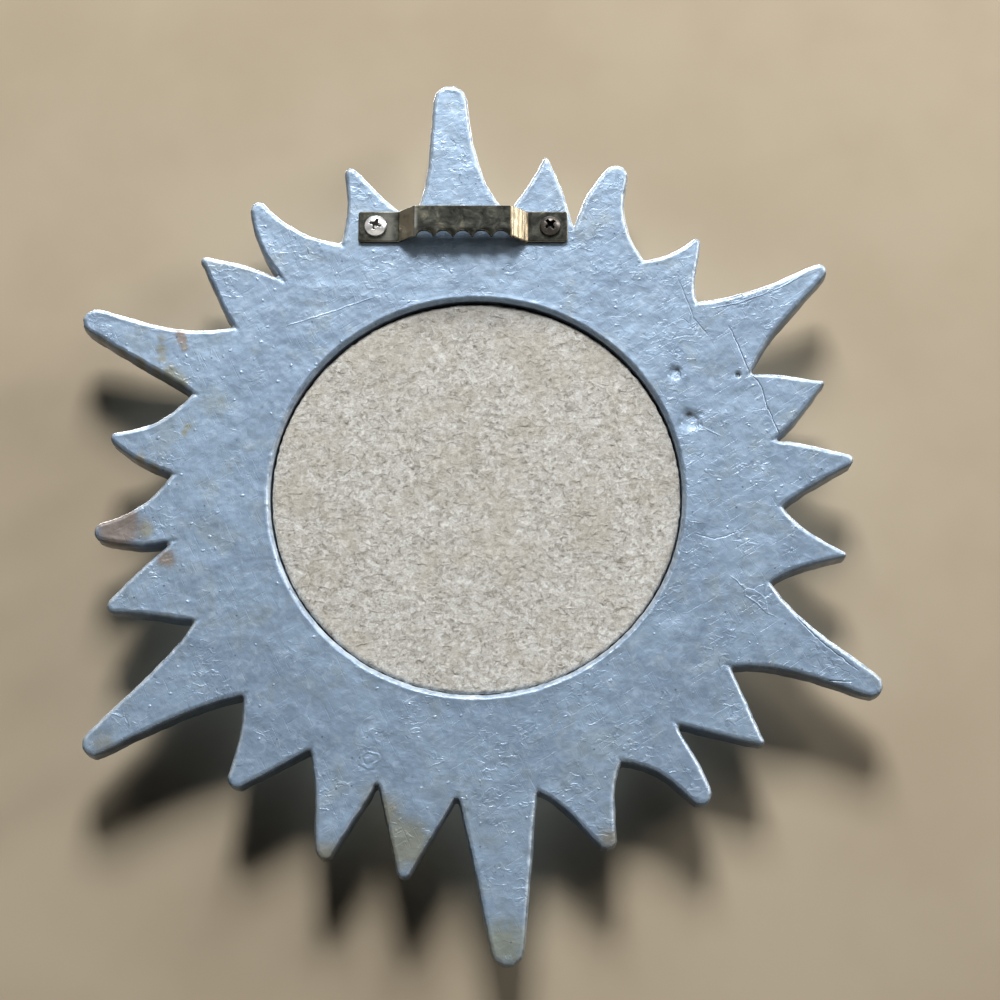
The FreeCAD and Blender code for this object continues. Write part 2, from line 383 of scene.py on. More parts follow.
# Line marks: corners and height, which is negative for a groove
line_marks = [
    ([(-78.8, 53.0), (-81.8, 45.3), (-84.4, 38.0), (-87.6, 34.7), (-88.9, 28.1), (-93.6, 15.8)], -0.14),
    ([(58.1, 54.2), (45.7, 58.5), (33.4, 63.2)], 0.07),
    ([(-75.0, 60.2), (-81.0, 61.6), (-88.6, 64.2), (-95.0, 67.0), (-101.5, 70.6)], 0.16),
    ([(-78.5, 63.4), (-83.0, 64.8), (-90.0, 67.0)], -0.3),
    ([(-63.5, 68.4), (-65.6, 62.6), (-67.6, 56.6), (-70.9, 51.9)], -0.1),
    ([(-60.6, 49.9), (-64.6, 50.9), (-68.0, 50.6)], -0.05),
    ([(-77.0, -27.0), (-86.5, -33.5)], 0.12),
    ([(-78.5, -31.6), (-88.0, -38.2)], 0.12),
    ([(-95.7, -39.6), (-101.6, -46.0), (-106.5, -50.2), (-112.0, -54.6)], -0.16),
    ([(-104.6, -58.3), (-109.4, -58.6)], -0.22),
    ([(-66.5, -13.5), (-72.0, -15.0), (-78.0, -13.0)], -0.07),
    ([(-70.5, 20.0), (-74.0, 18.2)], 0.1),
]

# Worn places: across, up, reach, strength and how brown
worn_places = [
    (91.9, 51.6, 1.6, 1.1, 0.8),
    (91.3, 49.4, 1.6, 1.15, 0.8),
    (90.4, 46.8, 1.5, 1.0, 0.6),
    (98.0, 50.0, 1.5, 0.95, 0.2),
    (97.8, 46.5, 1.7, 0.95, 0.2),
    (97.0, 43.0, 1.7, 0.9, 0.2),
    (94.5, 38.0, 3.2, 0.9, 0.1),
    (90.8, 35.6, 2.6, 0.8, 0.1),
    (116.9, 48.8, 2.0, 0.7, 0.6),
    (110.4, 45.2, 2.0, 0.75, 0.5),
    (104.1, 41.8, 2.2, 0.8, 0.4),
    (99.0, 39.0, 2.2, 0.75, 0.3),
    (88.2, 20.8, 1.2, 1.0, 0.1),
    (89.4, 18.6, 1.1, 1.05, 0.1),
    (90.2, 16.6, 1.0, 0.9, 0.1),
    (80.0, 29.0, 7.0, 0.42, 0.0),
    (102.4, 10.4, 2.2, 0.75, 0.4),
    (98.3, 7.6, 2.2, 0.7, 0.3),
    (107.5, -11.0, 7.0, 1.1, 0.9),
    (99.8, -12.0, 3.4, 0.9, 0.2),
    (92.6, -21.0, 3.2, 0.9, 0.8),
    (27.0, -97.0, 6.5, 0.9, 0.2),
    (20.5, -105.5, 8.0, 1.0, 0.1),
    (-8.6, -134.0, 9.0, 0.72, 0.0),
    (-38.8, -104.5, 4.0, 0.7, 0.4),
    (43.0, -109.0, 4.5, 0.75, 0.3),
    (108.5, -77.0, 5.0, 0.55, 0.3),
    (63.5, -97.0, 4.0, 0.4, 0.0),
]

# Silver paint on the cast frame

paint_light = rgb(129, 150, 172)
paint_dark = rgb(117, 137, 159)
paint_pale = rgb(150, 168, 187)
paint_grey = rgb(128, 141, 148)
paint_deep = rgb(94, 113, 135)
# Painted highlight colour for edges that face the lamps
edge_highlight_colour = rgb(200, 212, 223)
# Painted shade for side walls that face down
wall_grime = rgb(66, 66, 64)
# Dark flecks of dirt, and painted shade in the grooves of the line marks
fleck_and_groove_shade = rgb(58, 70, 86)
undercoat_olive = rgb(124, 129, 116)
undercoat_brown = rgb(118, 100, 88)
# Painted shadow colour for the dents
bare_dark = rgb(40, 42, 48)

# Radii: where a turn round the disc is measured, where the smooth ring ends and where the rays start
ring_middle = 85 * mm
ring_smooth = 84 * mm
ray_roots = 97 * mm

# A swirl of the brush: its place and the width of its rings
swirl_place = (30.6 * mm, -81.8 * mm, 0)
swirl_pitch = 1.9 * mm


def face_places(place):
    """Places on the back seen flat: across and up from the disc's centre, and round it and outwards."""
    across = maths("SUBTRACT", axis_of(place, "X"), disc_x)
    up = maths("SUBTRACT", axis_of(place, "Z"), disc_z)
    flat = new_node("CombineXYZ", {"X": across, "Y": up}).outputs["Vector"]
    turn = times(maths("ARCTAN2", across, up), ring_middle)
    outwards = distance_from(flat, (0, 0, 0))
    return flat, new_node("CombineXYZ", {"X": turn, "Y": outwards}).outputs["Vector"]


def paint_clusters(flat, polar):
    """How lumpy the paint is: more so in clusters, and less on the +X side of the ring."""
    clusters = levels(noise_pattern(flat, 14 * mm, 2.0), 0.44, 0.64, 0.2, 1.0)
    calm = levels(axis_of(flat, "X"), 10 * mm, 50 * mm, 1.0, 0.4)
    on_rays = levels(axis_of(polar, "Y"), ring_smooth, ray_roots)
    return times(clusters, maths("MAXIMUM", calm, on_rays))


def fresh_colour(material, place, bent, lumps, hollows):
    """Silver-blue, cloudy and mottled, with painted highlights on lumps and on the edges that face the
    lamps, and painted shade in hollows.
    """
    broad = noise_pattern(place, 24 * mm, 3.0, 0.6, 0.5)
    greyer = noise_pattern(place, 13 * mm, 5.0, 0.65, 0.8)
    mottle = noise_pattern(bent, 3.4 * mm, 4.0, 0.62, 1.0)
    streaky = levels(noise_pattern(place, 2.5 * mm, 3.0), 0.34, 0.54, 0.35, 1.0)
    return tinted(
        mixed(levels(broad, 0.35, 0.65), paint_dark, paint_light),
        (levels(greyer, 0.50, 0.68, 0.0, 0.6), paint_grey),
        (levels(mottle, 0.46, 0.72, 0.0, 0.55), paint_pale),
        (levels(mottle, 0.46, 0.24, 0.0, 0.45), paint_deep),
        # Painted highlight on the lumps and painted shade in the hollows
        (times(lumps, 0.28), paint_pale),
        (times(hollows, 0.50), paint_deep),
        # Painted highlight on the edges that face the lamps
        (times(vertex_value(material, "lit_edge"), streaky), edge_highlight_colour),
    )


def aged_colour(material, place, colour):
    """The paint's colour, worn to the undercoat in places, with painted shade in its grooves, in the dents
    and on the walls that face down.
    """
    ragged = noise_pattern(place, 3 * mm, 6.0, 0.7)
    wear = maths("ADD", vertex_value(material, "wear"), times(ragged, 0.7))
    undercoat = mixed(vertex_value(material, "brown"), undercoat_olive, undercoat_brown)
    flecks = scattered_spots(place, 2.2 * mm, (0.20, 0.08), (0.93, 0.95))
    off_line = maths("ABSOLUTE", vertex_value(material, "mark_across"))
    sunk = levels(vertex_value(material, "mark_height"), -0.08, -0.20)
    groove = times(levels(off_line, 0.28, 0.06), sunk)
    broken = levels(noise_pattern(place, 3 * mm, 2.0), 0.38, 0.60, 0.35, 0.95)
    return tinted(
        colour,
        (levels(wear, 0.50, 1.10, 0.0, 0.85), undercoat),
        # Dark flecks of dirt
        (times(flecks, 0.7), fleck_and_groove_shade),
        # Painted shade in the grooves of the line marks
        (times(groove, broken), fleck_and_groove_shade),
        # Painted shade on the side walls that face down
        (vertex_value(material, "grime"), wall_grime),
        # Painted shadow in the dents
        (vertex_value(material, "bare"), bare_dark),
    )


def swirl_pattern(bent):
    """Uneven rings round the swirl's place."""
    from_middle = distance_from(wavered(bent, 2.4 * mm, 2.4 * mm), swirl_place)
    rings = maths("SINE", times(from_middle, 2 * math.pi / swirl_pitch))
    return times(rings, levels(from_middle, 5.0 * mm, 2.4 * mm))


def brushwork(flat, polar, bent, clusters):
    """Height of wrinkles, brush strokes, scratches and the swirl, in millimetres."""
    wrinkles = times(wrinkle_pattern(bent, 4.6 * mm, 0.045), clusters)
    drawn = wavered(polar, 9 * mm, 2.0 * mm)
    strokes = noise_pattern(stretched(drawn, (0.10, 1, 1)), 0.8 * mm, 2.0, 0.6)
    rising = scratch_pattern(flat, 32, 11 * mm, 0.55 * mm)
    falling = scratch_pattern(flat, -64, 9 * mm, 0.5 * mm)
    return total_of((0.03, wrinkles), (0.03, strokes), (-0.025, rising), (-0.025, falling),
                    (0.045, swirl_pattern(bent)))


def marks_and_slopes(material, place, polar):
    """Height of the line marks, and of slopes at the pocket's rim and the outer edges, in millimetres."""
    off_line = maths("ABSOLUTE", vertex_value(material, "mark_across"))
    marks = times(levels(off_line, 0.36, 0.0), vertex_value(material, "mark_height"))
    outwards = axis_of(wavered(polar, 5 * mm, 0.7 * mm), "Y")
    rim = (pocket_radius + 0.1) * mm
    ragged = noise_pattern(place, 3 * mm, 2.0)
    from_edge = total_of((1.0, vertex_value(material, "edge")), (0.8, ragged))
    return total_of((1.0, marks), (0.36, levels(outwards, rim, rim + 1.6 * mm)),
                    (0.28, levels(from_edge, 0.5, 2.0)))


def dent_bottoms(flat):
    """Height of the sharp bottoms of the dents, in millimetres."""
    dented = wavered(flat, 2.2 * mm, 1.2 * mm)
    bottoms = []
    for x, z, reach, deep in dents:
        from_dent = distance_from(dented, (x * mm, z * mm, 0))
        bottoms.append((-0.3 * deep, levels(from_dent, reach * 1.05 * mm, reach * 0.7 * mm)))
    return total_of(*bottoms)


def silver_paint():
    """Silver-blue satin paint put on thickly: lumpy in clusters, wrinkled, scratched and worn."""
    material, place = new_material("silver_brush_paint")
    flat, polar = face_places(place)
    bent = wavered(flat, 5 * mm, 2.5 * mm)
    clusters = paint_clusters(flat, polar)
    lumps = noise_pattern(stretched(bent, (0.6, 1, 1)), 1.9 * mm, 2.0, 0.5, 0.8)
    lumps = times(levels(lumps, 0.53, 0.70), clusters)
    hollows = noise_pattern(stretched(bent, (1, 0.7, 1)), 2.3 * mm, 2.0, 0.5, 0.6)
    hollows = times(levels(hollows, 0.57, 0.72), clusters)
    relief = total_of(
        (0.07, lumps),
        (-0.055, hollows),
        (1.0, brushwork(flat, polar, bent, clusters)),
        (1.0, marks_and_slopes(material, place, polar)),
        (1.0, dent_bottoms(flat)),
    )
    on_faces = times(relief, vertex_value(material, "face"))
    nibs = scattered_spots(wavered(place, 1.5 * mm, 1.2 * mm), 1.9 * mm, (0.34, 0.04), (0.93, 0.97))
    fine = noise_pattern(place, 0.8 * mm, 3.0, 0.6)
    waves = noise_pattern(place, 7 * mm, 2.0)
    normal = bumped(total_of((1.0, on_faces), (0.12, nibs), (0.035, fine), (0.45, waves)), 1 * mm)
    colour = fresh_colour(material, place, bent, lumps, hollows)
    return finished(material, {
        "Base Color": aged_colour(material, place, colour),
        "Metallic": 0.5,
        "Roughness": levels(noise_pattern(place, 6 * mm, 3.0), 0.3, 0.7, 0.44, 0.56),
        "Coat Weight": 0.3,
        "Coat Roughness": 0.2,
        "Normal": normal,
        "Coat Normal": normal,
    })


# Mesh of the cast frame, in millimetres

def mound(flat, place, reach, power=2):
    """1 at a place and fading to 0 round it, steeper with a higher power."""
    return np.exp(-(np.linalg.norm(flat - place, axis=1) / reach) ** power)


def mark_field(flat):
    """For each point, how far it lies to one side of the nearest line mark, and the mark's height there."""
    nearest = np.full(len(flat), 1e3)
    across = np.zeros(len(flat))
    height = np.zeros(len(flat))
    for corners, tall in line_marks:
        for start, end in zip(corners, corners[1:]):
            start, end = np.array(start), np.array(end)
            length = np.linalg.norm(end - start)
            ahead = (end - start) / length
            along = (flat - start) @ ahead
            aside = (flat - start) @ np.array([-ahead[1], ahead[0]])
            beyond = np.maximum(np.maximum(-along, along - length), 0)
            distance = np.hypot(beyond, aside)
            closer = distance < nearest
            nearest = np.where(closer, distance, nearest)
            across = np.where(closer, aside, across)
            height = np.where(closer, tall * smoothstep(1.0, 0.2, beyond), height)
    return across, height * smoothstep(4.0, 2.5, nearest)


def wear_field(flat):
    """For each point, how worn the paint is and how brown its undercoat."""
    wear = np.zeros(len(flat))
    brown = np.zeros(len(flat))
    for x, z, reach, strength, browned in worn_places:
        here = strength * mound(flat, (x, z), reach)
        brown = np.where(here > wear, browned, brown)
        wear = np.maximum(wear, here)
    return wear, brown


def bare_field(flat):
    """For each point, how dark the painted shadow in the dents is."""
    return 0.9 * np.max([mound(flat, (x, z), reach, power=4) for x, z, reach in bare_spots], axis=0)


def snap_to_rim(points):
    """Moves points near the pocket's rim onto its wall, its bevel and the flat back beyond it.

    Gives each point's direction away from the disc's axis, and which points were near.
    """
    outward = (points - disc_centre) * (1, 0, 1)
    radius = np.linalg.norm(outward, axis=1)
    outward /= np.maximum(radius, 1)[:, None]
    depth = back_y / mm - points[:, 1]
    near = (radius > pocket_radius - 0.7) & (radius < pocket_radius + 2.2) & (depth < 3)
    here = np.stack([radius, depth], axis=1)[near]
    profile = np.array([(0, 9), (0, rim_bevel), (rim_bevel, 0), (3, 0)]) + (pocket_radius, 0)
    spots = []
    for start, end in zip(profile, profile[1:]):
        share = np.clip((here - start) @ (end - start) / ((end - start) @ (end - start)), 0, 1)
        spots.append(start + share[:, None] * (end - start))
    nearest = np.argmin([np.linalg.norm(here - spot, axis=1) for spot in spots], axis=0)
    snapped = np.choose(nearest[:, None], spots)
    points[near] += outward[near] * (snapped[:, 0] - here[:, 0])[:, None]
    points[near, 1] -= snapped[:, 1] - here[:, 1]
    return outward, near


def distance_from_walls(points, normals):
    """Distance of each point near the back from the nearest side wall, and how far that faces the lamps."""
    walls = np.flatnonzero((np.abs(normals[:, 1]) < 0.5) & (points[:, 1] > back_y / mm - 2.5))
    tree = KDTree(len(walls))
    for index in walls:
        tree.insert(points[index], index)
    tree.balance()
    distance = np.full(len(points), 99.0)
    lit = np.zeros(len(points))
    for index in np.flatnonzero(points[:, 1] > back_y / mm - 2.0):
        _, wall, distance[index] = tree.find(points[index])
        lit[index] = normals[wall, 2] + 0.6 * max(-normals[wall, 0], 0)
    return distance, lit


def paint_lumps(points, flat, facing_back):
    """Height of the lumpy paint, lower in the dents, which are steeper on their upper side."""
    height = 0.10 * noise(points, 16.0, 11) + 0.07 * noise(points, 7.0, 12)
    lumpy = smoothstep(0.0, 0.5, noise(points, 18.0, 13))
    height += lumpy * (0.06 * noise(points, 3.2, 14) + 0.04 * noise(points, 1.8, 15))
    uneven = 1 + 0.3 * noise(points, 2.0, 16)
    for x, z, reach, deep in dents:
        offset = flat - (x, z)
        away = np.linalg.norm(offset * (1.0, 0.85), axis=1) / reach * uneven
        steeper_above = 1 + 0.4 * np.clip(offset[:, 1] / reach, -1, 1)
        height -= facing_back * deep * steeper_above * np.exp(-away ** 4)
    return height


def rim_nibs(flat, seed):
    """Height of small drips and nibs of paint along the pocket's rim."""
    draw = np.random.default_rng(seed)
    height = np.zeros(len(flat))
    for bearing in draw.uniform(0, 2 * math.pi, 40):
        radius = pocket_radius + draw.uniform(0.1, 1.3)
        place = (radius * math.sin(bearing), radius * math.cos(bearing))
        reach = draw.uniform(0.4, 0.9)
        height += draw.uniform(0.08, 0.25) * mound(flat, place, reach)
    return height


def under_hanger(points, normals, depth):
    """1 on the flat face under the hanger's tabs, which has no lumps, and 0 away from it."""
    beyond_ends = np.abs(points[:, 0] - hanger_x) - hanger_half_length
    beyond_sides = np.abs(points[:, 2] - hanger_z) - hanger_half_width
    beyond = np.maximum(beyond_ends, beyond_sides)
    return smoothstep(1.0, 0.0, beyond) * (depth < 3) * (normals[:, 1] > 0.5)


def sun_frame_mesh():
    """The casting with softened edges, uneven outline, lumpy paint, dents and marks."""
    mesh = softened_mesh("sun_frame", voxel=0.5, rounds=1)
    points, normals = points_and_normals(mesh)
    outward, on_rim = snap_to_rim(points)
    flat, radius = flat_places(points)
    depth = back_y / mm - points[:, 1]
    in_pocket = smoothstep(pocket_radius + 0.2, pocket_radius, radius) * smoothstep(0.6, 1.1, depth)
    facing_back = smoothstep(0.5, 0.9, normals[:, 1]) * smoothstep(3.0, 1.5, depth)
    height = paint_lumps(points, flat, facing_back)

    # Paint gathers in a low bead along the edges and the pocket's rim
    from_walls, lit = distance_from_walls(points, normals)
    gathered = 0.4 + 0.6 * smoothstep(-0.2, 0.4, noise(points, 6.0, 17))
    height += facing_back * 0.08 * gathered * np.exp(-((from_walls - 1.3) / 0.7) ** 2)
    height += facing_back * 0.06 * np.exp(-((radius - pocket_radius - 1.6) / 0.9) ** 2)
    height += facing_back * rim_nibs(flat, 21)

    free = 1 - under_hanger(points, normals, depth)
    outline = 0.20 * noise(points, 9.0, 19) + 0.16 * noise(points, 3.5, 20)
    sideways = normals * (1, 0, 1) * (~on_rim)[:, None]
    wobble = 0.14 * noise(points, 6.0, 22) + 0.10 * noise(points, 2.0, 23)
    moved = normals * (height * free)[:, None] + sideways * outline[:, None] * free[:, None]
    moved += outward * (wobble * on_rim)[:, None]
    set_points(mesh, points + moved * (1 - in_pocket)[:, None])

    wear, brown = wear_field(flat)
    across, mark_height = mark_field(flat)
    # Painted highlight mask: edges near the back that face the lamps
    lit_edge = smoothstep(1.5, 0.6, from_walls) * smoothstep(-0.30, 0.40, lit)
    face = smoothstep(0.55, 0.85, np.abs(normals[:, 1]))
    # Painted shade mask: side walls that face down, fading towards the front
    underside = (1 - face) * smoothstep(0.0, -0.6, normals[:, 2]) * smoothstep(0.3, 1.2, depth)
    set_attributes(
        mesh,
        wear=wear, brown=brown,
        # Painted shadow in the dents, on the back only
        bare=bare_field(flat) * facing_back,
        mark_across=across,
        mark_height=mark_height * facing_back,
        edge=np.minimum(from_walls, 6.0),
        lit_edge=0.9 * lit_edge * smoothstep(1.6, 0.8, depth),
        face=face,
        grime=0.6 * underside * smoothstep(12.0, 8.0, depth),
    )
    return thinned_mesh(mesh, most_triangles=196000)


# Felt

# Places on the felt, in millimetres from the disc's centre: a dark spot and a pale tuft
spot_place = (-28.7, 27.2)
tuft_place = (-29.8, -6.5)
loose_fibres = 1700
tuft_fibres = 26

# How far from the centre fibres start and end at most
fibre_start = 60.5
fibre_end = 61.3


def felt_material():
    """Pressed wool felt, oatmeal with dark and pale flecks, and greyer along its upper edge with a painted
    shadow of the rim.
    """
    material, place = new_material("grey_wool_felt")
    fleck = noise_pattern(stretched(place, (0.8, 1.0, 1.0)), 1.3 * mm, 4.0, 0.72, 0.8)
    flecked = ramped(fleck, [
        (0.31, 132, 126, 115),
        (0.43, 192, 188, 179),
        (0.54, 217, 215, 208),
        (0.66, 246, 245, 240),
    ])
    specks = scattered_spots(place, 1.5 * mm, (0.34, 0.14), (0.86, 0.90))
    cloudy = noise_pattern(place, 12 * mm, 3.0, 0.6)
    colour = tinted(
        flecked,
        (times(specks, 0.5), rgb(120, 108, 92)),
        (levels(cloudy, 0.42, 0.66, 0.0, 0.45), rgb(196, 187, 170)),
        # Painted shadow of the pocket's rim along the upper edge, and one dark spot
        (vertex_value(material, "stain"), rgb(132, 130, 126)),
    )
    hairs = noise_pattern(stretched(place, (1.0, 1.0, 2.2)), 0.7 * mm, 4.0, 0.75, 1.5)
    return finished(material, {
        "Base Color": colour,
        "Roughness": 0.95,
        "Sheen Weight": 0.25,
        "Sheen Roughness": 0.6,
        "Specular IOR Level": 0.15,
        "Normal": bumped(hairs, 0.28 * mm),
    })


def felt_mesh():
    """Felt disc, its face uneven and its rim a little ragged."""
    mesh = softened_mesh("felt_disc", voxel=0.7, rounds=2)
    points, normals = points_and_normals(mesh)
    flat, radius = flat_places(points)
    height = 0.10 * noise(points, 9.0, 31) + 0.09 * noise(points, 2.2, 32) + 0.05 * noise(points, 1.3, 33)
    ragged = smoothstep(60.5, 62.0, radius) * (0.25 + 0.25 * noise(points, 2.0, 34))
    moved = np.zeros_like(points)
    moved[:, 1] = np.where(normals[:, 1] > 0.5, height, 0)
    moved[:, [0, 2]] = -flat * (ragged / np.maximum(radius, 1))[:, None]
    set_points(mesh, points + moved)
    # Painted shadow of the pocket's rim along the felt's upper edge, and one dark spot
    stain = smoothstep(49, 61, flat[:, 1] + 2.5 * noise(points, 8.0, 35))
    stain *= smoothstep(30, 18, np.abs(flat[:, 0] + 2))
    spot = 0.7 * mound(flat, spot_place, reach=1.0)
    set_attributes(mesh, stain=np.clip(0.55 * stain + spot, 0, 1))
    return mesh


def ribbon_tube(shape, points, radius, sides):
    """Thin closed tube along points, added to a mesh under construction."""
    rings = []
    last = len(points) - 1
    for index, point in enumerate(points):
        ahead = points[min(index + 1, last)] - points[max(index - 1, 0)]
        ahead.normalize()
        across = ahead.cross(Vector((0, 1, 0)))
        if across.length < 0.01:
            across = ahead.cross(Vector((1, 0, 0)))
        across.normalize()
        up = across.cross(ahead)
        thin = radius * (0.4 if index in (0, last) else 1.0)
        ring = []
        for side in range(sides):
            angle = 2 * math.pi * side / sides
            ring.append(shape.verts.new(point + (across * math.cos(angle) + up * math.sin(angle)) * thin))
        rings.append(ring)
    for near, far in zip(rings, rings[1:]):
        for side in range(sides):
            following = (side + 1) % sides
            shape.faces.new([near[side], near[following], far[following], far[side]])
    shape.faces.new(rings[0][::-1])
    shape.faces.new(rings[-1])


def fibre_points(draw, in_tuft):
    """Points along one fibre on the felt, fewer where it reaches the felt's edge."""
    radius = fibre_start * math.sqrt(draw.uniform(0, 1))
    bearing = draw.uniform(0, 2 * math.pi)
    x, z = radius * math.sin(bearing), radius * math.cos(bearing)
    heading = draw.normal(math.pi / 2, 0.9)
    turn = draw.normal(0, 0.45)
    if in_tuft:
        x, z = draw.normal(tuft_place, (1.8, 0.5))
        heading = draw.normal(-1.4, 0.25)
    step = draw.uniform(0.5, 1.1)
    points = []
    for index in range(5):
        if math.hypot(x, z) > fibre_end:
            break
        lift = 0.10 + 0.16 * math.sin(math.pi * index / 4) * draw.uniform(0.2, 1.0)
        points.append(Vector((disc_x + x * mm, felt_high.y + lift * mm, disc_z + z * mm)))
        x, z = x + step * math.sin(heading), z + step * math.cos(heading)
        heading += turn
    return points


def felt_fibres(seed):
    """Loose wool fibres lying on the felt, each with its own shade, and the pale tuft."""
    draw = np.random.default_rng(seed)
    shape = bmesh.new()
    shades = []
    for number in range(loose_fibres + tuft_fibres):
        in_tuft = number >= loose_fibres
        points = fibre_points(draw, in_tuft)
        if len(points) < 3:
            continue
        before = len(shape.verts)
        ribbon_tube(shape, points, draw.uniform(0.03, 0.06) * mm, 3)
        shade = 1.0 if in_tuft else draw.uniform(0, 1)
        shades += [shade] * (len(shape.verts) - before)
    mesh = bpy.data.meshes.new("felt_fibres")
    shape.to_mesh(mesh)
    shape.free()
    set_attributes(mesh, shade=np.array(shades))
    return mesh


def fibre_material():
    """Wool fibres from dark brown-grey to nearly white."""
    material, place = new_material("wool_fibres")
    shaded = ramped(vertex_value(material, "shade"), [
        (0.0, 112, 104, 94),
        (0.3, 178, 173, 163),
        (0.6, 216, 213, 206),
        (1.0, 246, 244, 238),
    ])
    fine = levels(noise_pattern(place, 1.0 * mm), 0.3, 0.7, 0.0, 0.3)
    return finished(material, {
        "Base Color": mixed(fine, shaded, rgb(150, 140, 122)),
        "Roughness": 0.8,
    })


# Hanger

def hanger_material():
    """Antique brass plate, dark and blotched, with brighter metal where it is rubbed, painted reflection
    stripes on the ramp at -X and a painted highlight at the bend at +X.
    """
    material, place = new_material("antique_brass_plate")
    blotched = ramped(noise_pattern(place, 4 * mm, 5.0, 0.65, 0.8), [
        (0.32, 26, 27, 25),
        (0.48, 47, 48, 44),
        (0.60, 66, 67, 61),
        (0.72, 98, 93, 80),
    ])
    streak = noise_pattern(stretched(place, (1.0, 1.0, 0.05)), 1.3 * mm, 3.0, 0.6)
    # Painted reflection: pale vertical stripes for the ramp at -X
    ramp_reflection_stripes = ramped(streak, [
        (0.38, 64, 58, 50),
        (0.45, 152, 133, 102),
        (0.54, 196, 180, 152),
        (0.66, 170, 142, 98),
    ])
    ramp = vertex_value(material, "ramp")
    colour = tinted(
        blotched,
        # Painted highlight along the bend at +X, and the tab beyond it paler
        (vertex_value(material, "pale"), rgb(112, 112, 106)),
        # Painted reflection stripes on the ramp at -X
        (ramp, ramp_reflection_stripes),
        (vertex_value(material, "rubbed"), rgb(132, 124, 106)),
    )
    grained = bumped(noise_pattern(stretched(place, (0.12, 1.0, 1.0)), 0.35 * mm, 3.0), 0.02 * mm)
    return finished(material, {
        "Base Color": colour,
        "Metallic": 1.0,
        "Roughness": levels(noise_pattern(place, 2.5 * mm, 4.0), 0.3, 0.7, 0.30, 0.44),
        "Normal": bumped(times(streak, ramp), 0.25 * mm, grained),
    })


def hanger_mesh():
    """Sawtooth hanger with softened edges, a slightly wavy strip and bent teeth."""
    mesh = softened_mesh("sawtooth_hanger", voxel=0.24, rounds=3)
    points, normals = points_and_normals(mesh)
    from_middle = points[:, 0] - hanger_x
    on_teeth = smoothstep(0.9, -1.6, points[:, 2]) * smoothstep(16.0, 15.0, np.abs(from_middle))
    wave = np.sin((from_middle / 6.0 + 0.5) * 2 * math.pi)
    lean = 0.25 * noise(points * (1, 0, 0), 4.0, 41) + 0.22 * wave
    on_bridge = smoothstep(16.5, 14.5, np.abs(from_middle))
    inwards = on_teeth * (0.3 + lean) + on_bridge * 0.12 * (1 + noise(points, 11.0, 42))
    set_points(mesh, points - inwards[:, None] * (0, 1, 0))
    edge = 1 - np.max(np.abs(normals), axis=1)
    rubbed = smoothstep(0.12, 0.28, edge + 0.12 * noise(points, 2.0, 43)) * 0.75
    # The ramp at -X, which carries the painted reflection stripes
    reflecting_ramp = smoothstep(-14.8, -15.6, from_middle) * smoothstep(-20.8, -19.8, from_middle)
    # Painted highlight along the bend at +X, and the tab beyond it paler
    pale = 0.75 * np.exp(-((from_middle - 14.9) / 0.6) ** 2)
    pale += 0.5 * smoothstep(20.5, 23.0, from_middle) * smoothstep(30.0, 23.0, from_middle)
    set_attributes(mesh, rubbed=rubbed, ramp=reflecting_ramp, pale=np.clip(pale, 0, 1))
    return mesh


# Screws, in millimetres: the head and its cross recess, and the shank, whose last share is the point

head_height = 2.2
head_rim_height = 0.66 * head_height
head_arris = 0.12
dome_rings = 40
recess_depth = 1.3
recess_arm_reach = 1.85
recess_arm_half_width = 0.42
recess_hub_radius = 0.95
shank_radius = 1.35
thread_pitch = 1.3
thread_depth = 0.26
straight_share = 0.72
point_share = 0.28
shank_rings = 97
screw_sides = 96


def lathe_grid(profile, sides):
    """Closed surface turned about the Y axis, through (radius, y) points from one end to the other."""
    places, faces = [], []
    for radius, y in profile:
        for side in range(sides):
            angle = 2 * math.pi * side / sides
            places.append((radius * math.sin(angle), y, radius * math.cos(angle)))
    for ring in range(len(profile) - 1):
        for side in range(sides):
            following = (side + 1) % sides
            low, high = ring * sides, (ring + 1) * sides
            faces.append((low + side, low + following, high + following, high + side))
    first, last = len(places), len(places) + 1
    places += [(0, profile[0][1], 0), (0, profile[-1][1], 0)]
    high = (len(profile) - 1) * sides
    for side in range(sides):
        following = (side + 1) % sides
        faces += [(first, following, side), (last, high + side, high + following)]
    return np.array(places), faces


def screw_profile(head_radius, top, tip):
    """(radius, y) points of a screw from the middle of its domed head to its point."""
    seat = top - head_height
    rim = top - head_rim_height
    profile = []
    for ring in range(1, dome_rings):
        radius = head_radius * ring / dome_rings
        profile.append((radius, top - head_height * 0.62 * (radius / head_radius) ** 2.6))
    profile += [(head_radius * 0.995, rim), (head_radius, rim - head_arris)]
    profile += [(head_radius, seat + head_arris), (head_radius - head_arris, seat)]
    profile += [(head_radius * 0.7, seat), (shank_radius, seat)]
    for index in range(shank_rings):
        share = index / (shank_rings - 1)
        taper = 1 if share < straight_share else 1 - (share - straight_share) / point_share
        profile.append((max(shank_radius * taper ** 0.8, 0.05), seat + (tip - seat) * share))
    return profile


def cut_thread(shank, seat):
    """Draws a shank's places in along a helix, from a little below the screw's seat."""
    phase = shank[:, 1] / thread_pitch - np.arctan2(shank[:, 0], shank[:, 2]) / (2 * math.pi)
    groove = thread_depth * smoothstep(0.15, 0.5, np.abs(phase % 1 - 0.5))
    groove *= smoothstep(0.8, 1.6, seat - shank[:, 1])
    shank[:, [0, 2]] *= (1 - groove)[:, None]


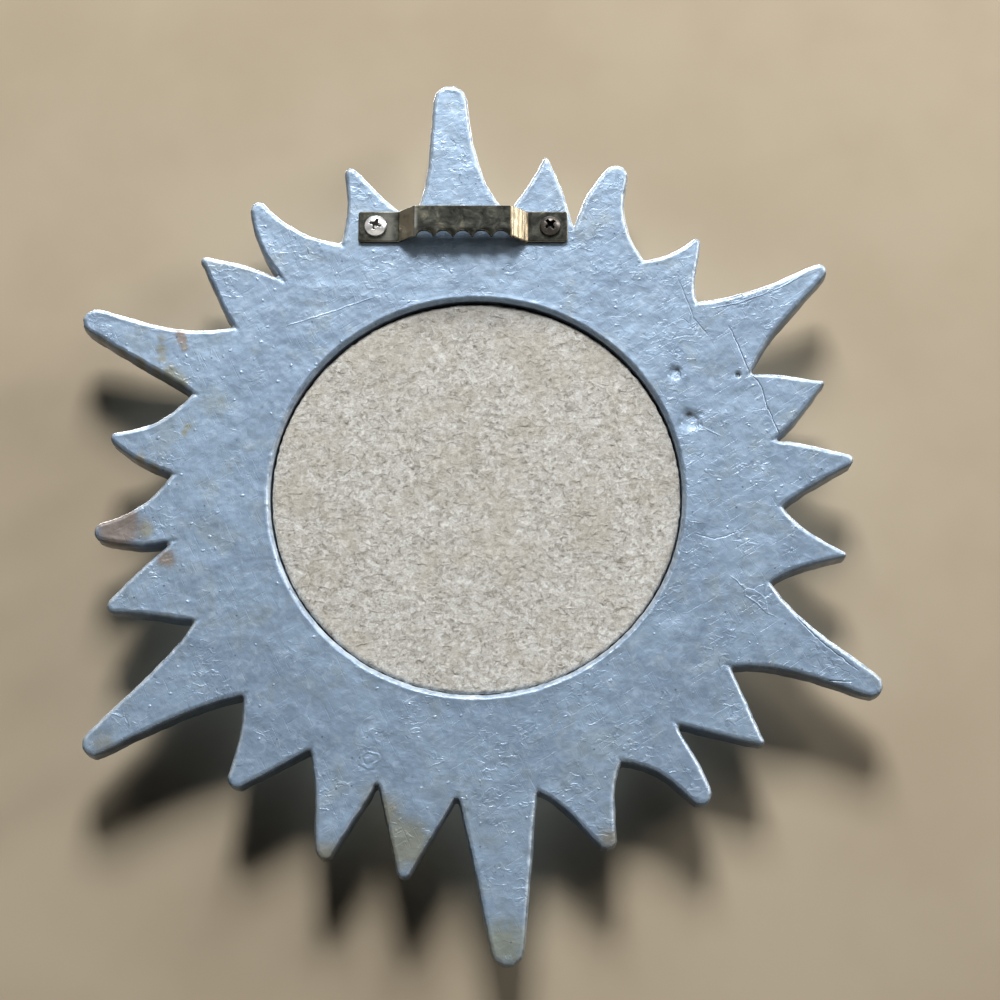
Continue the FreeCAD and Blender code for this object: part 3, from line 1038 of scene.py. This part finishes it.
def cross_recess(places, turn):
    """For each place, how far it is in a cross recess at that turn, from 0 to 1, and the recess's depth."""
    angle = math.radians(turn)
    across = places[:, 0] * math.cos(angle) + places[:, 2] * math.sin(angle)
    along = -places[:, 0] * math.sin(angle) + places[:, 2] * math.cos(angle)
    upright = np.maximum(np.abs(across) - recess_arm_half_width, np.abs(along) - recess_arm_reach)
    level = np.maximum(np.abs(along) - recess_arm_half_width, np.abs(across) - recess_arm_reach)
    from_middle = np.hypot(across, along)
    outside = np.minimum(np.minimum(upright, level), from_middle - recess_hub_radius)
    return smoothstep(0.14, -0.16, outside), recess_depth * (1 - 0.35 * from_middle / 2)


def screw_mesh(node, turn):
    """Pan-head wood screw: domed head with a tapered cross recess, threaded shank and point."""
    low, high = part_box(node)
    head_radius = (high.x - low.x) / 2 / mm
    top = high.y / mm
    places, faces = lathe_grid(screw_profile(head_radius, top, low.y / mm), screw_sides)
    shank = places[-2 - shank_rings * screw_sides:-2]
    cut_thread(shank, top - head_height)
    on_dome = places[:, 1] > top - head_rim_height - 0.01
    on_dome &= np.hypot(places[:, 0], places[:, 2]) < head_radius * 0.9
    sunk, deep = cross_recess(places, turn)
    sunk = np.where(on_dome, sunk, 0)
    places[:, 1] -= sunk * deep
    centre = np.array([(low.x + high.x) / 2, 0, (low.z + high.z) / 2])
    mesh = mesh_of(node, places * mm + centre, faces)
    set_attributes(mesh, recess=sunk)
    return mesh


def screw_material(name, bright, dark, recess, roughness):
    """Plated screw, cloudy, with painted shade in its cross recess."""
    material, place = new_material(name)
    cloud = noise_pattern(place, 2.5 * mm, 4.0)
    colour = mixed(levels(cloud, 0.35, 0.65), bright, dark)
    scuffs = noise_pattern(place, 0.6 * mm, 5.0, 0.7)
    return finished(material, {
        # Painted shade in the cross recess
        "Base Color": mixed(vertex_value(material, "recess"), colour, recess),
        "Metallic": 1.0,
        "Roughness": roughness,
        "Normal": bumped(scuffs, 0.03 * mm),
    })


# Mirror pack

def glass_material():
    """Clear float glass."""
    material, place = new_material("float_glass")
    return finished(material, {
        "Base Color": (0.97, 0.99, 0.98, 1),
        "Roughness": 0.0,
        "IOR": 1.52,
        "Transmission Weight": 1.0,
        "Normal": bumped(noise_pattern(place, 40 * mm, 1.0), 0.01 * mm),
    })


def silvering_material():
    """Silvered back of the mirror, with a few dark specks."""
    material, place = new_material("mirror_silvering")
    speck = levels(noise_pattern(place, 1.2 * mm, 2.0), 0.80, 0.84)
    return finished(material, {
        "Base Color": mixed(speck, (0.93, 0.94, 0.94, 1), (0.25, 0.24, 0.22, 1)),
        "Metallic": 1.0,
        "Roughness": 0.02,
    })


def board_material():
    """Brown hardboard with pressed fibres."""
    material, place = new_material("brown_hardboard")
    fibre = noise_pattern(place, 1.5 * mm, 5.0, 0.7, 1.0)
    return finished(material, {
        "Base Color": mixed(levels(fibre, 0.3, 0.7), rgb(96, 66, 42), rgb(142, 106, 72)),
        "Roughness": 0.8,
        "Normal": bumped(fibre, 0.1 * mm),
    })


def glue_material():
    """Milky clear adhesive."""
    material, place = new_material("milky_adhesive")
    cloud = levels(noise_pattern(place, 3 * mm, 3.0), 0.35, 0.65)
    return finished(material, {
        "Base Color": mixed(cloud, rgb(214, 208, 190), rgb(232, 228, 214)),
        "Roughness": 0.35,
        "Subsurface Weight": 0.2,
        "Subsurface Radius": (0.001, 0.001, 0.0008),
    })


def pane_mesh():
    """Round glass pane with ground edges, a hair short of the silvering behind it."""
    radius = (glass_high.x - glass_low.x) / 2 / mm
    arris = 0.35
    back = glass_high.y / mm - 0.01
    front = glass_low.y / mm
    steps = [(radius - arris) * index / 24 for index in range(1, 25)]
    profile = [(step, back) for step in steps] + [(radius, back - arris), (radius, front + arris)]
    profile += [(step, front) for step in reversed(steps)]
    places, faces = lathe_grid(profile, 192)
    return mesh_of("mirror_pane", (places + disc_centre) * mm, faces)


# Pieces

new_piece("sun_frame_casting", sun_frame_mesh(), silver_paint(), "silver_casting", "sun_frame")

felt = new_piece("felt_backing", felt_mesh(), felt_material(), "grey_felt", "felt_disc")
fibres = new_piece("felt_loose_fibres", felt_fibres(51), fibre_material(), "grey_felt")

hanger = new_piece("sawtooth_hanger_strip", hanger_mesh(), hanger_material(), "antique_brass",
                   "sawtooth_hanger")
# The third colour of each screw is painted shade for its cross recess
zinc = screw_material("bright_zinc", rgb(240, 241, 242), rgb(212, 214, 216), rgb(70, 68, 64), 0.32)
dark = screw_material("dark_plate", rgb(104, 99, 94), rgb(70, 67, 64), rgb(14, 14, 14), 0.40)
zinc_screw = new_piece("zinc_pan_screw", screw_mesh("hanger_screw_zinc", 20), zinc, "zinc_plate",
                       "hanger_screw_zinc")
dark_screw = new_piece("dark_pan_screw", screw_mesh("hanger_screw_dark", 50), dark, "dark_plate",
                       "hanger_screw_dark")

new_piece("mirror_pane", pane_mesh(), glass_material(), "clear_glass", "mirror_glass")

for node, material in {
    "mirror_silvering": silvering_material(),
    "mirror_adhesive": glue_material(),
    "backing_board": board_material(),
}.items():
    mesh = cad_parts[node].data
    mesh.materials.clear()
    mesh.materials.append(material)


# Stage, in metres: a surface under the mirror's face, and a floor below the hanging mirror

table_y = front_y - 0.4 * mm
table_hole = 80 * mm
table_sides = 96
stage_reach = 2.5
floor_z = -0.30


def plain_sheet(name, corners, faces, material):
    """Flat sheet, which isn't part of the object."""
    mesh = mesh_of(name, corners, faces)
    mesh.materials.append(material)
    sheet = object_of(name, mesh)
    return sheet


def table_sheet():
    """Upright sheet down to the floor, open behind the mirror, which then shows the room."""
    corners, faces = [], []
    for side in range(table_sides):
        angle = 2 * math.pi * side / table_sides
        far = stage_reach
        if math.cos(angle) * stage_reach < floor_z - disc_z:
            far = (floor_z - disc_z) / math.cos(angle)
        for radius in (table_hole, far):
            corners.append((disc_x + radius * math.sin(angle), table_y, disc_z + radius * math.cos(angle)))
        following = (side + 1) % table_sides
        faces.append((side * 2, side * 2 + 1, following * 2 + 1, following * 2))
    return plain_sheet("table_surface", corners, faces, table_material())


def table_material():
    """Pale warm surface, seen and lit from its upper side only."""
    material, place = new_material("pale_table")
    faint = levels(noise_pattern(place, 60 * mm, 3.0), 0.3, 0.7)
    finished(material, {
        "Base Color": mixed(faint, rgb(178, 163, 140), rgb(185, 171, 148)),
        "Roughness": 0.9,
        "Specular IOR Level": 0.1,
    })
    nodes = material.node_tree.nodes
    surface = nodes["Principled BSDF"].outputs["BSDF"]
    clear = nodes.new("ShaderNodeBsdfTransparent").outputs["BSDF"]
    lower_side = nodes.new("ShaderNodeNewGeometry").outputs["Backfacing"]
    blend = new_node("MixShader", {"Fac": lower_side, 1: surface, 2: clear})
    set_inputs(nodes["Material Output"], {"Surface": blend.outputs["Shader"]})
    return material


def floor_material():
    """Plain pale floor."""
    material, _ = new_material("pale_floor")
    return finished(material, {"Base Color": rgb(158, 155, 150), "Roughness": 0.9})


table = table_sheet()
corners = [(x * stage_reach, y * stage_reach, floor_z) for x, y in ((-1, -1), (1, -1), (1, 1), (-1, 1))]
floor = plain_sheet("floor", corners, [(0, 1, 2, 3)], floor_material())
floor.visible_diffuse = False


# Lamps, world and camera

def aim(thing, direction):
    """Turns a lamp or camera to face along a direction, its top up."""
    thing.rotation_mode = "QUATERNION"
    thing.rotation_quaternion = direction.to_track_quat("-Z", "Y")


def lamp(name, place, target, width, height, power):
    """Soft rectangular lamp at a place measured from the target that it faces."""
    data = bpy.data.lights.new(name, "AREA")
    data.shape = "RECTANGLE"
    data.size = width
    data.size_y = height
    data.energy = power
    light = object_of(name, data)
    light.location = Vector(target) + Vector(place)
    aim(light, -Vector(place))
    return light


def studio_world():
    """Plain world, pale where it is seen, mirrored or seen through glass, and faint as a light."""
    world = bpy.data.worlds.new("studio")
    world.use_nodes = True
    nodes = world.node_tree.nodes
    up = axis_of(nodes.new("ShaderNodeTexCoord").outputs["Generated"], "Z")
    seen = levels(up, -0.25, 0.8, 0.32, 0.78)
    soft = levels(up, -0.2, 0.9, 0.0, 0.04)
    path = nodes.new("ShaderNodeLightPath").outputs
    direct = maths("MAXIMUM", path["Is Camera Ray"], path["Is Glossy Ray"])
    direct = maths("MAXIMUM", direct, path["Is Transmission Ray"])
    strength = new_node("Mix", {"Factor": direct, "A": soft, "B": seen}).outputs["Result"]
    set_inputs(nodes["Background"], {"Color": (1.0, 0.99, 0.97, 1), "Strength": strength})
    return world


middle = (disc_x, back_y, disc_z)
lamp("window_lamp", (0.05, 1.25, 1.78), middle, 0.90, 0.70, 66)
lamp("side_lamp", (-1.15, 0.45, 0.80), middle, 0.45, 0.45, 13)

# A low strip from the side picks out the bent strip of the hanger alone
strip = lamp("side_strip_lamp", (-1.12, 0.14, 0.40), (disc_x, back_y, 0), 0.2, 0.5, 0.25)
strip_lit = bpy.data.collections.new("strip_lit")
for piece in (hanger, zinc_screw, dark_screw):
    strip_lit.objects.link(piece)
strip.light_linking.receiver_collection = strip_lit

# The front lamps shine through the surface under the mirror's face
front_blockers = bpy.data.collections.new("front_lamp_blockers")
front_blockers.objects.link(table)
front_blockers.collection_objects[0].light_linking.link_state = "EXCLUDE"
for front in (lamp("front_lamp", (0.3, -0.95, 1.2), middle, 0.8, 0.8, 28),
              lamp("front_fill", (-0.4, -1.0, 1.1), middle, 0.9, 0.9, 12)):
    front.light_linking.blocker_collection = front_blockers

bpy.context.scene.world = studio_world()

camera_data = bpy.data.cameras.new("camera")
camera_data.lens = camera_lens
camera = object_of("camera", camera_data)
looking = Vector((0, -math.cos(camera_below), math.sin(camera_below)))
camera.location = camera_aim - looking * camera_distance
aim(camera, looking)
bpy.context.scene.camera = camera
bpy.context.scene.view_settings.view_transform = "Standard"
